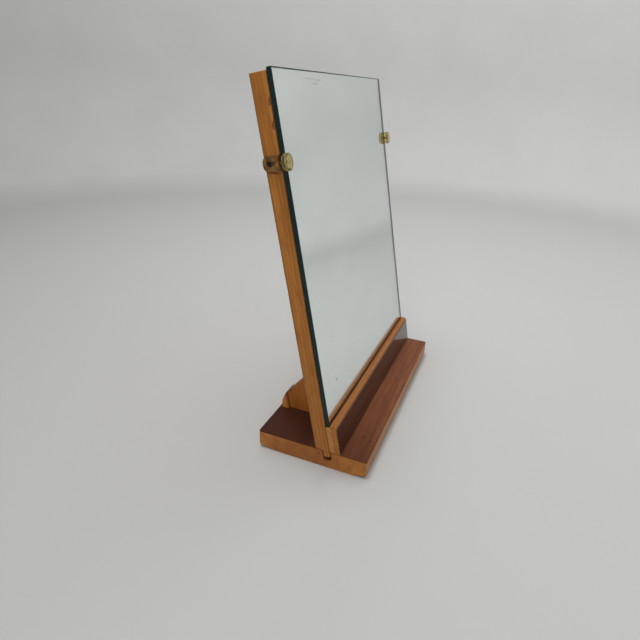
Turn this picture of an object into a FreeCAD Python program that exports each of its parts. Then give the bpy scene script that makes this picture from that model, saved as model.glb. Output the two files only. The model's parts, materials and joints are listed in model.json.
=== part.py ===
"""Tabletop vanity mirror: a silvered glass clipped to a leaning wooden frame on a veneered base.

X runs along the base, the front is -Y and Z is up. The origin is the middle of the base's underside.
The frame, glass, ledge, braces and clips are laid out upright, with the frame's front face at y = 0
and its foot at z = 0, and then lean back together onto the base.
"""
import FreeCAD, Part
import math
import os

from FreeCAD import Placement, Rotation, Vector

# Driving dimensions, in millimetres and degrees.

# Base
base_length = 322.0
base_depth = 136.0
base_thick = 23.5
veneer_thick = 1.2
base_corner_radius = 2.0
base_edge_round = 0.6
bevel_height = 3.5              # under the front and rear edges
bevel_run = 18.0

# Frame, as wide as the base is long
tilt = 11.3
frame_setback = 45.0            # base's front edge to the frame's front face, at the top of the base
frame_height = 394.0            # along the slope
frame_depth = 17.0
stile_width = 34.0
top_rail_height = 34.0
bottom_rail_height = 92.0
wood_edge_round = 0.8

# Tongue under each stile, and the notch that it drops into
tongue_thick = 7.5
tongue_drop = 7.5
tongue_reach = 20.0             # in from the base's end
notch_side_gap = 1.4
notch_bottom_gap = 5.0
notch_corner_radius = 3.0

# Plywood back
panel_thick = 4.0
rebate_width = 7.0
panel_gap = 0.25
pin_shank_radius = 0.6
pin_head_radius = 1.6
pin_head_height = 0.7
pin_length = 11.0
pins_up = 5                     # down each long side
pins_across = 3                 # along each short side

# Glass and what lies behind it
glass_thick = 5.0
glass_above_frame = 2.0
glass_side_gap = 0.2            # glass edge in from the frame's side
glass_arris = 0.4
silver_thick = 0.2
liner_thick = 0.7
liner_inset = 0.8

# Ledge that carries the glass
rest_height = 33.0              # along the slope
groove_gap = 0.2
lip_rise = 2.0                  # above the foot of the glass
lip_thick = 7.7
lip_round = 4.5
facing_thick = 0.8

# Braces, and the blocks that stand behind them
brace_end_inset = 59.0          # base's end to the brace's outer face
brace_thick = 17.0
brace_below_rail = 6.0          # bottom rail's upper edge to the brace's highest point
brace_low_edge = 38.0           # along the slope, at the seam
seam_gap = 0.6
block_depth = 10.8              # along the base
block_rear_inset = 2.7          # base's rear edge to the block's back
block_rear_height = 10.0
block_proud = 3.5               # past the brace, on each side

# Pegs and screws
peg_gap = 0.05
frame_dowel_radius = 4.0
frame_dowel_depth = 18.0        # into stile and rail alike
frame_dowel_inset = 8.0         # rail's edge to the peg
foot_dowel_height = 30.0
brace_dowel_radius = 3.0
brace_dowel_into_rail = 10.0
brace_dowel_into_brace = 18.0
brace_dowel_inset = 21.0        # brace's highest point to the upper peg
screw_shank_radius = 2.0
screw_head_radius = 4.0
screw_point = 4.0
screw_slot_width = 0.9
screw_slot_depth = 0.8
screw_sink = 0.4                # head below the surface
ledge_screw_bite = 3.5          # into the lip
ledge_screw_height = 16.0
ledge_screw_spread = 45.0       # middle of the frame to the inner screws
frame_screw_bite = 22.0         # above the base
frame_screw_spread = 70.0
brace_screw_bite = 15.0         # above the base
brace_screw_inset = 15.0        # brace's front or back edge to the screw

# Clips
clip_drop = 76.6                # frame's top to the middle of the knob, along the slope
bracket_thick = 1.2
bracket_width = 14.0
bracket_overhang = 1.3          # past the frame's back
bracket_end_radius = 5.5
bend_radius = 1.0
slot_front = 3.3                # frame's front face to the slot
slot_length = 10.0
slot_width = 3.2
stud_offset = 3.2               # frame's side to the stud's axis
stud_radius = 1.5
stud_gap = 0.05
stud_tail = 6.5                 # behind the frame's front face
stud_in_knob = 3.0
stud_end_bevel = 0.3
lug_margin = 4.2                # stud's axis to the lug's end
lug_corner_radius = 3.0
boss_radius = 3.2
boss_length = 3.0
clip_screw_radius = 1.4
clip_screw_length = 15.0
clip_head_radius = 2.6
clip_head_height = 1.5
clip_slot_width = 0.7
clip_slot_depth = 0.6
knob_radius = 8.0
knob_thick = 5.1
knob_edge_round = 0.8
knob_crown = 0.5
knob_clearance = 0.3            # knob's back to the glass

# Sizes and places that follow from these.
half_length = base_length / 2
half_depth = base_depth / 2
veneer_bottom = base_thick - veneer_thick
slope = math.radians(tilt)
foot_y = -half_depth + frame_setback
stile_inner = half_length - stile_width
stile_middle = half_length - stile_width / 2
opening_top = frame_height - top_rail_height
panel_front = frame_depth - panel_thick
panel_low = bottom_rail_height - rebate_width
panel_high = opening_top + rebate_width
panel_half_width = stile_inner + rebate_width
dowel_y = panel_front / 2
silver_front = -(liner_thick + silver_thick)
glass_front = silver_front - glass_thick
glass_top = frame_height + glass_above_frame
glass_half_width = half_length - glass_side_gap
lip_back = glass_front - groove_gap
lip_front = lip_back - lip_thick
lip_height = rest_height + lip_rise
facing_back = lip_front + facing_thick
facing_top = lip_height - lip_round
brace_outer = half_length - brace_end_inset
brace_inner = brace_outer - brace_thick
brace_middle = brace_outer - brace_thick / 2
brace_high_edge = bottom_rail_height - brace_below_rail
block_back = half_depth - block_rear_inset
seam_foot = block_back - block_depth
seam = (seam_foot - foot_y) * math.cos(slope)
clip_height = frame_height - clip_drop
clip_screw_y = slot_front + slot_length - slot_width / 2
stud_x = half_length + stud_offset
knob_back = glass_front - knob_clearance
overrun = 2 * base_thick        # how far leaning blanks run down before they are cut to the base


def block(x0, x1, y0, y1, z0, z1):
    return Part.makeBox(x1 - x0, y1 - y0, z1 - z0, Vector(x0, y0, z0))


def side_profile(points, x0, x1):
    """A solid with a side outline of (y, z) points, running from x0 to x1."""
    corners = [Vector(x0, y, z) for y, z in points]
    outline = Part.makePolygon(corners + corners[:1])
    return Part.Face(outline).extrude(Vector(x1 - x0, 0, 0))


def rod(start, direction, radius, length):
    return Part.makeCylinder(radius, length, start, direction)


def turned(points, start, direction):
    """A solid of revolution from (radius, height) points, standing on start along direction."""
    corners = [Vector(radius, 0, height) for radius, height in points]
    outline = Part.Face(Part.makePolygon(corners + corners[:1]))
    solid = outline.revolve(Vector(0, 0, 0), Vector(0, 0, 1), 360)
    solid.Placement = Placement(start, Rotation(Vector(0, 0, 1), direction))
    return solid


def domed_rod(start, direction, radius, length, crown):
    """A rod whose far end swells by crown, inside its length, to part of a ball."""
    ball_radius = (radius ** 2 + crown ** 2) / (2 * crown)
    ball = Part.makeSphere(ball_radius, start + direction * (length - ball_radius))
    return rod(start, direction, radius, length).common(ball)


def near(a, b):
    return abs(a - b) < 0.01


def eased(shape, radius, chosen):
    """Round the edges whose middles pass the chosen test."""
    return shape.makeFillet(radius, [edge for edge in shape.Edges if chosen(edge.CenterOfMass)])


def mirrored(shape):
    return shape.mirror(Vector(0, 0, 0), Vector(1, 0, 0))


def lean(shape):
    """Move a piece from the upright layout to its leaning place on the base."""
    leaning = shape.copy()
    leaning.rotate(Vector(0, 0, 0), Vector(1, 0, 0), -tilt)
    leaning.translate(Vector(0, foot_y, base_thick))
    return leaning


def lean_point(y, z):
    """Where a (y, z) point of the upright layout comes to lie."""
    return (foot_y + y * math.cos(slope) + z * math.sin(slope),
            base_thick - y * math.sin(slope) + z * math.cos(slope))


def under_base_top():
    reach = base_length + base_depth + frame_height
    return block(-reach, reach, -reach, reach, -reach, base_thick)


def lean_and_seat(shape):
    """Lean a piece back and cut its foot off level with the top of the base."""
    return lean(shape).cut(under_base_top())


# Screws, pegs and pins. Each is a pair: its solid, and the hole that it needs.

def wood_screw(mouth, direction, length):
    """A slotted countersunk screw, its head sunk below the surface at mouth."""
    def outline(gap):
        head = screw_head_radius + gap
        shank = screw_shank_radius + gap
        return [(0, 0), (head, 0), (shank, head - shank), (shank, length - screw_point), (0, length + gap)]

    head_centre = mouth + direction * screw_sink
    solid = turned(outline(0), head_centre, direction)
    slot = block(-screw_head_radius, screw_head_radius, -screw_slot_width / 2, screw_slot_width / 2,
                 0, screw_slot_depth)
    slot.Placement = solid.Placement
    hole = turned(outline(peg_gap), head_centre, direction)
    sink = rod(mouth - direction * screw_head_radius, direction, screw_head_radius + peg_gap,
               screw_head_radius + screw_sink)
    return solid.cut(slot), hole.fuse(sink)


def peg(start, direction, radius, length):
    hole = rod(start - direction * peg_gap, direction, radius + peg_gap, length + 2 * peg_gap)
    return rod(start, direction, radius, length), hole


def panel_pin(x, z):
    """A round-headed pin through the plywood into the frame."""
    start = Vector(x, frame_depth, z)
    inward = Vector(0, -1, 0)
    shank = rod(start, inward, pin_shank_radius, pin_length)
    head = domed_rod(start, -inward, pin_head_radius, pin_head_height, pin_head_height)
    return shank.fuse(head), rod(start, inward, pin_shank_radius + peg_gap, pin_length + peg_gap)


def clip_screw():
    """A slotted round-headed screw through the right-hand bracket's slot into the stile."""
    seat = Vector(half_length + bracket_thick, clip_screw_y, clip_height)
    shank = rod(seat, Vector(-1, 0, 0), clip_screw_radius, clip_screw_length)
    head = domed_rod(seat, Vector(1, 0, 0), clip_head_radius, clip_head_height, clip_head_height)
    slot = block(seat.x + clip_head_height - clip_slot_depth, seat.x + clip_head_height,
                 seat.y - clip_head_radius, seat.y + clip_head_radius,
                 seat.z - clip_slot_width / 2, seat.z + clip_slot_width / 2)
    hole = rod(seat, Vector(-1, 0, 0), clip_screw_radius + peg_gap, clip_screw_length + peg_gap)
    return shank.fuse(head).cut(slot), hole


def frame_dowels():
    heights = (foot_dowel_height, bottom_rail_height - frame_dowel_inset,
               opening_top + frame_dowel_inset, frame_height - frame_dowel_inset)
    return [peg(Vector(joint - frame_dowel_depth, dowel_y, height), Vector(1, 0, 0),
                frame_dowel_radius, 2 * frame_dowel_depth)
            for joint in (-stile_inner, stile_inner) for height in heights]


def panel_pins():
    across = panel_half_width - rebate_width / 2
    low = panel_low + rebate_width / 2
    high = panel_high - rebate_width / 2
    pins = []
    for step in range(pins_up):
        height = low + (high - low) * (step + 0.5) / pins_up
        pins += [panel_pin(-across, height), panel_pin(across, height)]
    for step in range(pins_across):
        x = -across + 2 * across * (step + 0.5) / pins_across
        pins += [panel_pin(x, low), panel_pin(x, high)]
    return pins


def ledge_screws():
    length = frame_depth - screw_sink - lip_back + ledge_screw_bite
    return [wood_screw(Vector(x, frame_depth, ledge_screw_height), Vector(0, -1, 0), length)
            for x in (-stile_middle, -ledge_screw_spread, ledge_screw_spread, stile_middle)]


def brace_dowels():
    start = frame_depth - brace_dowel_into_rail
    length = brace_dowel_into_rail + brace_dowel_into_brace
    return [peg(Vector(x, start, height), Vector(0, 1, 0), brace_dowel_radius, length)
            for x in (-brace_middle, brace_middle)
            for height in (foot_dowel_height, brace_high_edge - brace_dowel_inset)]


def screw_from_below(x, y, bite):
    """A screw up through the base, its head clear of the bevel underneath, its point bite above the base."""
    bevel_start = half_depth - bevel_run
    mouth = max(0, abs(y) + screw_head_radius - bevel_start) * bevel_height / bevel_run
    return wood_screw(Vector(x, y, mouth), Vector(0, 0, 1), base_thick + bite - mouth - screw_sink)


def frame_screws():
    """Screws up through the base into the middle of the bottom rail."""
    rail_middle = frame_depth / 2 / math.cos(slope) + frame_screw_bite / 2 * math.tan(slope)
    return [screw_from_below(x, foot_y + rail_middle, frame_screw_bite)
            for x in (-frame_screw_spread, 0, frame_screw_spread)]


def brace_screws():
    """Screws up through the base: two into each brace, one into each block."""
    front = foot_y + frame_depth / math.cos(slope) + brace_screw_inset
    back = seam_foot - brace_screw_inset
    block_middle = seam_foot + block_depth / 2
    return [screw_from_below(x, y, brace_screw_bite)
            for x in (-brace_middle, brace_middle) for y in (front, back, block_middle)]


def solids(fastenings):
    return Part.makeCompound([solid for solid, hole in fastenings])


def drilled(shape, *groups):
    """Take the holes of some groups of fastenings out of a piece."""
    for fastenings in groups:
        for solid, hole in fastenings:
            shape = shape.cut(hole)
    return shape


# Base

def notch():
    """The open-ended slot in the base's right end, along the slope of the frame."""
    inner = half_length - tongue_reach - notch_side_gap
    outer = half_length + notch_side_gap
    bottom = -(tongue_drop + notch_bottom_gap)
    slot = block(inner, outer, -notch_side_gap, tongue_thick + notch_side_gap, bottom, overrun)
    return lean(eased(slot, notch_corner_radius,
                      lambda middle: near(middle.z, bottom) and near(middle.x, (inner + outer) / 2)))


def base_blank(outline):
    """A layer of the base with the given side outline and rounded corners."""
    blank = side_profile(outline, -half_length, half_length)
    return eased(blank, base_corner_radius, lambda middle: near(abs(middle.x), half_length)
                 and near(abs(middle.y), half_depth))


def make_base(screws_below):
    flat = half_depth - bevel_run
    board = base_blank([(-half_depth, bevel_height), (-flat, 0), (flat, 0), (half_depth, bevel_height),
                        (half_depth, veneer_bottom), (-half_depth, veneer_bottom)])
    veneer = base_blank([(-half_depth, veneer_bottom), (half_depth, veneer_bottom),
                         (half_depth, base_thick), (-half_depth, base_thick)])
    veneer = eased(veneer, base_edge_round, lambda middle: near(middle.z, base_thick))
    slot = notch()
    layers = {"base_board": board, "base_top_veneer": veneer}
    return {name: drilled(layer.cut(slot).cut(mirrored(slot)), *screws_below)
            for name, layer in layers.items()}


# Frame

def rebate(gap):
    """The seat of the plywood back, drawn in by a gap."""
    return block(-panel_half_width + gap, panel_half_width - gap, panel_front, frame_depth,
                 panel_low + gap, panel_high - gap)


def make_stile(dowels, pins, screws, clip_fixing):
    """The right-hand stile, whose foot is cut back to a tongue at its front outer corner."""
    blank = block(stile_inner, half_length, 0, frame_depth, -tongue_drop, frame_height)
    blank = eased(blank, wood_edge_round, lambda middle: near(middle.x, half_length)
                  and not near(middle.z, -tongue_drop))
    blank = drilled(blank.cut(rebate(0)), dowels, pins, screws, [clip_fixing])
    kept = block(half_length - tongue_reach, half_length, -frame_depth, tongue_thick, -overrun, overrun)
    return lean(blank).cut(under_base_top().cut(lean(kept)))


def make_rail(low, high, *fixings):
    blank = block(-stile_inner, stile_inner, 0, frame_depth, low, high)
    return lean_and_seat(drilled(blank.cut(rebate(0)), *fixings))


def make_frame(dowels, pins, screws, clip_fixing, pegs, screws_below):
    stile = make_stile(dowels, pins, screws, clip_fixing)
    top_rail = make_rail(opening_top, frame_height, dowels, pins)
    bottom_rail = make_rail(-overrun, bottom_rail_height, dowels, pins, screws, pegs)
    return {"left_stile": mirrored(stile),
            "right_stile": stile,
            "top_rail": top_rail,
            "bottom_rail": drilled(bottom_rail, screws_below),
            "back_panel": lean(drilled(rebate(panel_gap), pins))}


# Glass

def make_mirror():
    glass = block(-glass_half_width, glass_half_width, glass_front, silver_front, rest_height, glass_top)
    glass = glass.makeChamfer(glass_arris, glass.Edges)
    silvered = glass_half_width - glass_arris
    silvering = block(-silvered, silvered, silver_front, -liner_thick,
                      rest_height + glass_arris, glass_top - glass_arris)
    liner = block(-half_length + liner_inset, half_length - liner_inset, -liner_thick, 0,
                  rest_height, frame_height - liner_inset)
    return {"mirror_glass": lean(glass), "mirror_silvering": lean(silvering), "glass_liner": lean(liner)}


# Ledge

def make_ledge(screws):
    strip = block(-half_length, half_length, lip_back, 0, -overrun, rest_height)
    lip = block(-half_length, half_length, lip_front, lip_back, -overrun, lip_height)
    lip = eased(lip, lip_round, lambda middle: near(middle.y, lip_front) and near(middle.z, lip_height))
    front = block(-half_length, half_length, lip_front, facing_back, -overrun, facing_top)
    return {"glass_rest_strip": lean_and_seat(drilled(strip, screws)),
            "ledge_lip": lean_and_seat(drilled(lip.cut(front), screws)),
            "ledge_facing": lean_and_seat(front)}


# Braces

def make_brace(pegs, screws_below):
    """The right-hand brace, its grain and back edge along the slope of the frame."""
    outline = [(frame_depth, -overrun), (seam, -overrun),
               (seam, brace_low_edge), (frame_depth, brace_high_edge)]
    brace = side_profile(outline, brace_inner, brace_outer)
    brace = eased(brace, wood_edge_round, lambda middle: near(middle.y, (frame_depth + seam) / 2)
                  and near(middle.z, (brace_low_edge + brace_high_edge) / 2))
    return drilled(lean_and_seat(drilled(brace, pegs)), screws_below)


def make_brace_block(screws_below):
    """The right-hand block, a seam's width behind the brace."""
    foot = (seam_foot + seam_gap, base_thick)
    top_y, top_z = lean_point(seam, brace_low_edge)
    outline = [foot, (block_back, base_thick), (block_back, base_thick + block_rear_height),
               (top_y + seam_gap, top_z)]
    low_x = brace_inner - block_proud
    high_x = brace_outer + block_proud
    solid = side_profile(outline, low_x, high_x)
    solid = eased(solid, wood_edge_round, lambda middle: middle.z > base_thick + block_rear_height / 4
                  and middle.y > top_y and not near(middle.x, brace_middle))
    return drilled(solid, screws_below)


def make_braces(pegs, screws_below):
    brace = make_brace(pegs, screws_below)
    brace_block = make_brace_block(screws_below)
    return {"left_brace": mirrored(brace), "right_brace": brace,
            "left_brace_block": mirrored(brace_block), "right_brace_block": brace_block}


# Clips

def make_bracket():
    """The right-hand bracket: a plate on the stile's side, rounded behind, with a lug bent out in front."""
    low = clip_height - bracket_width / 2
    high = clip_height + bracket_width / 2
    side = half_length + bracket_thick
    rear = frame_depth + bracket_overhang
    lug_end = stud_x + lug_margin
    arm = block(half_length, side, -bracket_thick, rear, low, high)
    arm = eased(arm, bracket_end_radius, lambda middle: near(middle.y, rear)
                and near(middle.x, side - bracket_thick / 2))
    lug = block(half_length, lug_end, -bracket_thick, 0, low, high)
    lug = eased(lug, lug_corner_radius, lambda middle: near(middle.x, lug_end)
                and near(middle.y, -bracket_thick / 2))
    strap = arm.fuse(lug).removeSplitter()
    strap = eased(strap, bend_radius, lambda middle: near(middle.x, half_length)
                  and near(middle.y, -bracket_thick))
    boss = rod(Vector(stud_x, 0, clip_height), Vector(0, 1, 0), boss_radius, boss_length)
    boss = boss.common(block(half_length, stud_x + boss_radius, 0, boss_length, low, high))
    slot_half = slot_width / 2
    slot_back = slot_front + slot_length
    slot = block(half_length, side, slot_front + slot_half, slot_back - slot_half,
                 clip_height - slot_half, clip_height + slot_half)
    slot_ends = [rod(Vector(half_length, y, clip_height), Vector(1, 0, 0), slot_half, bracket_thick)
                 for y in (slot_front + slot_half, slot_back - slot_half)]
    thread = rod(Vector(stud_x, -bracket_thick, clip_height), Vector(0, 1, 0), stud_radius + stud_gap,
                 bracket_thick + boss_length)
    return strap.fuse(boss).cut([slot, thread] + slot_ends)


def make_stud():
    length = stud_tail - knob_back + stud_in_knob
    narrow = stud_radius - stud_end_bevel
    outline = [(0, 0), (narrow, 0), (stud_radius, stud_end_bevel), (stud_radius, length - stud_end_bevel),
               (narrow, length), (0, length)]
    return turned(outline, Vector(stud_x, stud_tail, clip_height), Vector(0, -1, 0))


def make_knob():
    """The right-hand knob: a drum with rounded rims, a slightly domed face and a blind bore."""
    back = Vector(stud_x, knob_back, clip_height)
    outward = Vector(0, -1, 0)
    rims = (knob_back, knob_back - knob_thick + knob_crown)
    drum = domed_rod(back, outward, knob_radius, knob_thick, knob_crown)
    drum = eased(drum, knob_edge_round, lambda middle: any(near(middle.y, rim) for rim in rims))
    return drum.cut(rod(back, outward, stud_radius + stud_gap, stud_in_knob + stud_gap))


def make_clips(fixing):
    right = {"clip_bracket": make_bracket(), "clip_screw": fixing[0], "clip_stud": make_stud(),
             "clip_knob": make_knob()}
    clips = {}
    for name, shape in right.items():
        clips["right_" + name] = lean(shape)
        clips["left_" + name] = lean(mirrored(shape))
    return clips


def make_nodes():
    dowels, pins, screws, pegs = frame_dowels(), panel_pins(), ledge_screws(), brace_dowels()
    rail_screws, foot_screws, clip_fixing = frame_screws(), brace_screws(), clip_screw()
    nodes = make_base([rail_screws, foot_screws])
    nodes.update(make_frame(dowels, pins, screws, clip_fixing, pegs, rail_screws))
    nodes.update(make_mirror())
    nodes.update(make_ledge(screws))
    nodes.update(make_braces(pegs, foot_screws))
    nodes.update(make_clips(clip_fixing))
    nodes.update({"frame_dowels": lean(solids(dowels)), "panel_pins": lean(solids(pins)),
                  "ledge_screws": lean(solids(screws)), "brace_dowels": lean(solids(pegs)),
                  "frame_screws": solids(rail_screws), "brace_screws": solids(foot_screws)})
    return nodes


os.makedirs("parts", exist_ok=True)
for name, shape in make_nodes().items():
    shape.exportStep(os.path.join("parts", name + ".step"))
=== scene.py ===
"""A tabletop vanity mirror with its finishes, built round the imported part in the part's own frame.

Metres: X along the base, the front is -Y, Z up, and the floor at z = 0.
"""
import json
import math

import bmesh
import bpy
from mathutils import Matrix, Vector, noise


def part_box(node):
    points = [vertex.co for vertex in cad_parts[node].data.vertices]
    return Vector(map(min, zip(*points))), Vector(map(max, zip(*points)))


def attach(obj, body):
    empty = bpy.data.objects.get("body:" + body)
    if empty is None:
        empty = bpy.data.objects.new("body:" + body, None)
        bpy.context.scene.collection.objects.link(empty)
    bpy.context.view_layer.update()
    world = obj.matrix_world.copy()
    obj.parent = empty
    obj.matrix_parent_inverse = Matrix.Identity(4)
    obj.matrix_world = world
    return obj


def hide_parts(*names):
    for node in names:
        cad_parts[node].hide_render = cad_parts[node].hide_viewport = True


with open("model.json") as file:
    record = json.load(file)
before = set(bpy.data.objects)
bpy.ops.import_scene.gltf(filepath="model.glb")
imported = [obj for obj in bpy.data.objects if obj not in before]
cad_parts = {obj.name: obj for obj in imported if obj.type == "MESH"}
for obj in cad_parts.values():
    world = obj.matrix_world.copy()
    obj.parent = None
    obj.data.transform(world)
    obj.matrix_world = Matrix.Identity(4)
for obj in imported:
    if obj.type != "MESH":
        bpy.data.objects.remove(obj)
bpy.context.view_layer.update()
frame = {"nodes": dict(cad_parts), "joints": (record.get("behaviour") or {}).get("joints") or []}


# Base board
# A thick board of honey-coloured hardwood, planed, bevelled under its two long edges and varnished.
# A slot sawn into each end takes the foot of the frame.

mm = 0.001
board_low, board_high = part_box("base_board")
base_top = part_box("base_top_veneer")[1].z
underside_run = 18 * mm
underside_rise = 3.5 * mm
base_corner = 2 * mm
board_ease = 0.5 * mm
end_skin = 0.3 * mm

# The studs slide out square to the glass, so their axis gives the frame's lean.
out_of_glass = Vector(frame["joints"][0]["axis"])
tilt = math.atan2(out_of_glass.z, -out_of_glass.y)
frame_foot = Vector((0, -23 * mm, base_top))
lean = Matrix.Translation(frame_foot) @ Matrix.Rotation(-tilt, 4, "X")

tongue_reach = 20 * mm
tongue_thick = 7.5 * mm
slot_gap = 1.4 * mm
slot_bottom = -12.5 * mm
slot_corner = 3 * mm


def prism(outline, travel):
    """A solid made by drawing a flat outline along a line."""
    bm = bmesh.new()
    face = bm.faces.new([bm.verts.new(point) for point in outline])
    swept = bmesh.ops.extrude_face_region(bm, geom=[face])
    moved = [part for part in swept["geom"] if isinstance(part, bmesh.types.BMVert)]
    bmesh.ops.translate(bm, vec=travel, verts=moved)
    bmesh.ops.recalc_face_normals(bm, faces=bm.faces)
    return bm


def side_cut(outline, left, right):
    """A solid with a side outline of (y, z) points, running across from left to right."""
    return prism([(left, y, z) for y, z in outline], (right - left, 0, 0))


def block(low, high):
    """A plain square-edged solid between two corners."""
    outline = [(low[1], low[2]), (high[1], low[2]), (high[1], high[2]), (low[1], high[2])]
    return side_cut(outline, low[0], high[0])


def rounded(bm, radius, chosen, segments=4):
    """Round the sharp edges whose middle and direction pass a test; the new corner points are returned."""
    sharp_angle = 0.45
    edges = []
    for edge in bm.edges:
        start, end = (vert.co for vert in edge.verts)
        sharp = edge.calc_face_angle(0) > sharp_angle
        if sharp and chosen((start + end) / 2, (end - start).normalized()):
            edges.append(edge)
    eased = bmesh.ops.bevel(bm, geom=edges, offset=radius, segments=segments, profile=0.5,
                            affect="EDGES", material=-1)
    return eased["verts"]


def sliced(bm, axis, spacing=18 * mm):
    """Cut a length into short runs, so that its edges can wander."""
    reach = [vert.co[axis] for vert in bm.verts]
    start = min(reach)
    length = max(reach) - start
    runs = round(length / spacing)
    normal = [0, 0, 0]
    normal[axis] = 1
    for step in range(1, runs):
        place = [0, 0, 0]
        place[axis] = start + length * step / runs
        everything = bm.verts[:] + bm.edges[:] + bm.faces[:]
        bmesh.ops.bisect_plane(bm, geom=everything, plane_co=place, plane_no=normal)


def worn(bm, radius, chosen, depth=0.2 * mm):
    """Ease edges by hand: rounded, and rubbed back a little more in some places than in others."""
    patch = 22 * mm
    touched = rounded(bm, radius, chosen, 3)
    bm.normal_update()
    for vert in touched:
        vert.co -= vert.normal * depth * max(0, noise.noise(vert.co / patch) + 0.2)


def combined(bm, other, operation="DIFFERENCE"):
    """Cut one mesh out of another, or join the two."""
    things = []
    for part in (bm, other):
        mesh = bpy.data.meshes.new("blank")
        part.to_mesh(mesh)
        part.free()
        things.append(bpy.data.objects.new("blank", mesh))
        bpy.context.scene.collection.objects.link(things[-1])
    cut = things[0].modifiers.new("cut", "BOOLEAN")
    cut.operation = operation
    cut.solver = "EXACT"
    cut.object = things[1]
    shaped = things[0].evaluated_get(bpy.context.evaluated_depsgraph_get())
    result = bmesh.new()
    result.from_mesh(shaped.to_mesh())
    for thing in things:
        mesh = thing.data
        bpy.data.objects.remove(thing)
        bpy.data.meshes.remove(mesh)
    return result


def foot_slot(side):
    """What is sawn out of one end of the base: an open slot along the frame's slope."""
    inner = board_high.x - tongue_reach - slot_gap
    past_end = board_high.x + 5 * mm
    past_top = 30 * mm
    bm = block((inner, -slot_gap, slot_bottom), (past_end, tongue_thick + slot_gap, past_top))
    rounded(bm, slot_corner, lambda middle, along: abs(along.x) > 0.9 and middle.z < 0)
    bmesh.ops.scale(bm, vec=(side, 1, 1), verts=bm.verts)
    bmesh.ops.recalc_face_normals(bm, faces=bm.faces)
    bm.transform(lean)
    return bm


def finish_piece(name, bm, body, slot, nodes, *materials):
    """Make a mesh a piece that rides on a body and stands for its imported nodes."""
    crease_angle = 0.7
    for face in bm.faces:
        face.smooth = True
    for edge in bm.edges:
        edge.smooth = edge.calc_face_angle(0) < crease_angle
    mesh = bpy.data.meshes.new(name)
    bm.to_mesh(mesh)
    bm.free()
    for material in materials:
        mesh.materials.append(material)
    piece = bpy.data.objects.new(name, mesh)
    bpy.context.scene.collection.objects.link(piece)
    piece.modifiers.new("flat faces", "WEIGHTED_NORMAL").keep_sharp = True
    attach(piece, body)
    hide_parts(*nodes)


def paint(red, green, blue):
    """A colour, given as it looks in 0 to 255, as the share of light that a surface sends back."""
    shares = [channel / 255 for channel in (red, green, blue)]
    return tuple(((share + 0.055) / 1.055) ** 2.4 for share in shares) + (1.0,)


def add(tree, kind, inputs, **settings):
    """A material node with its settings made and its inputs set, or linked where a socket is given."""
    made = tree.nodes.new("ShaderNode" + kind)
    for name, value in settings.items():
        setattr(made, name, value)
    for name, value in inputs.items():
        if isinstance(value, bpy.types.NodeSocket):
            tree.links.new(value, made.inputs[name])
        else:
            made.inputs[name].default_value = value
    return made


def shader_of(material):
    """A material's own shader node."""
    return material.node_tree.nodes["Principled BSDF"]


def part_place(tree):
    """Where a point of a piece lies in the part's frame."""
    return add(tree, "TexCoord", {}).outputs["Object"]


def new_material(name):
    """A fresh material: itself, its node tree, its shader and the place of each point."""
    material = bpy.data.materials.new(name)
    material.use_nodes = True
    tree = material.node_tree
    return material, tree, shader_of(material), part_place(tree)


def sized(tree, where, size, turn=(0, 0, 0), place=(0, 0, 0)):
    """Coordinates in which one unit is size long, turned and placed on the piece."""
    return add(tree, "Mapping", {"Vector": where, "Location": place, "Rotation": turn, "Scale": size},
               vector_type="TEXTURE").outputs[0]


def cloud(tree, where, detail=3.0, distortion=0.0):
    """Soft random shade from 0 to 1."""
    return add(tree, "TexNoise", {"Vector": where, "Scale": 1.0, "Detail": detail,
                                  "Distortion": distortion}).outputs[0]


def ramp(tree, factor, *stops):
    """Colours along a scale, from (place, colour) pairs."""
    made = add(tree, "ValToRGB", {"Fac": factor})
    scale = made.color_ramp.elements
    while len(scale) < len(stops):
        scale.new(0.5)
    for element, (place, colour) in zip(scale, stops):
        element.position = place
        element.color = colour
    return made.outputs[0]


def spread(tree, value, low, high, to_low=0.0, to_high=1.0):
    """A value stretched from one range to another and held at its ends."""
    return add(tree, "MapRange", {"Value": value, "From Min": low, "From Max": high,
                                  "To Min": to_low, "To Max": to_high}).outputs[0]


def maths(tree, operation, first, second):
    """Two values added, multiplied or compared."""
    return add(tree, "Math", {0: first, 1: second}, operation=operation).outputs[0]


def vectors(tree, operation, first, second):
    """The same for two places or directions."""
    return add(tree, "VectorMath", {0: first, 1: second}, operation=operation).outputs[0]


def blend(tree, factor, first, second, mode="MIX"):
    """One colour laid over another."""
    return add(tree, "Mix", {0: factor, 6: first, 7: second}, data_type="RGBA", blend_type=mode).outputs[2]


def near_edges(tree, where, low, high, place):
    """How far a point on a box's faces lies from the box's nearest edge."""
    middle = sized(tree, where, (1, 1, 1), place.to_euler(), place @ ((low + high) / 2))
    inside = vectors(tree, "SUBTRACT", (high - low) / 2, vectors(tree, "ABSOLUTE", middle, (0, 0, 0)))
    x, y, z = add(tree, "SeparateXYZ", {0: inside}).outputs
    return maths(tree, "MAXIMUM", maths(tree, "MINIMUM", x, y),
                 maths(tree, "MINIMUM", maths(tree, "MAXIMUM", x, y), z))


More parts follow.
